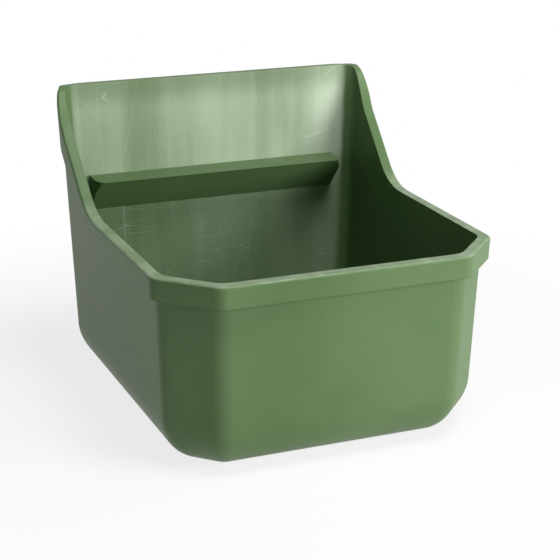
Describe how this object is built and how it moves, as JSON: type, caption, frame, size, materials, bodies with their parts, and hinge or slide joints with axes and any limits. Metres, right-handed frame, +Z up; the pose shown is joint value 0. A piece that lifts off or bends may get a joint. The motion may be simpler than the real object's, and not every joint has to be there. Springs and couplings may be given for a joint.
{
  "type": "hanging horse feeder",
  "caption": "Moulded feed trough with chamfered front, high back, downturned lip and a fold across the back, hung over a rail on steel straps.",
  "frame": {"origin": "under the middle of the whole assembly, on the plane of the trough's flat bottom", "axes": "+X to the right seen from the front, +Y from the front to the hanging side, +Z up; the assembly is symmetrical about the plane X = 0"},
  "size_m": [0.3866, 0.4581, 0.333],
  "materials": {
    "trough": "satin green moulded plastic",
    "strap": "galvanised flat steel",
    "insert": "plain brass",
    "screw": "zinc plated steel"
  },
  "bodies": {
    "root": {"trough": "trough", "hanger_left": "strap", "hanger_right": "strap", "insert_left_upper": "insert", "screw_left_upper": "screw", "insert_left_lower": "insert", "screw_left_lower": "screw", "insert_right_upper": "insert", "screw_right_upper": "screw", "insert_right_lower": "insert", "screw_right_lower": "screw"}
  },
  "joints": []
}
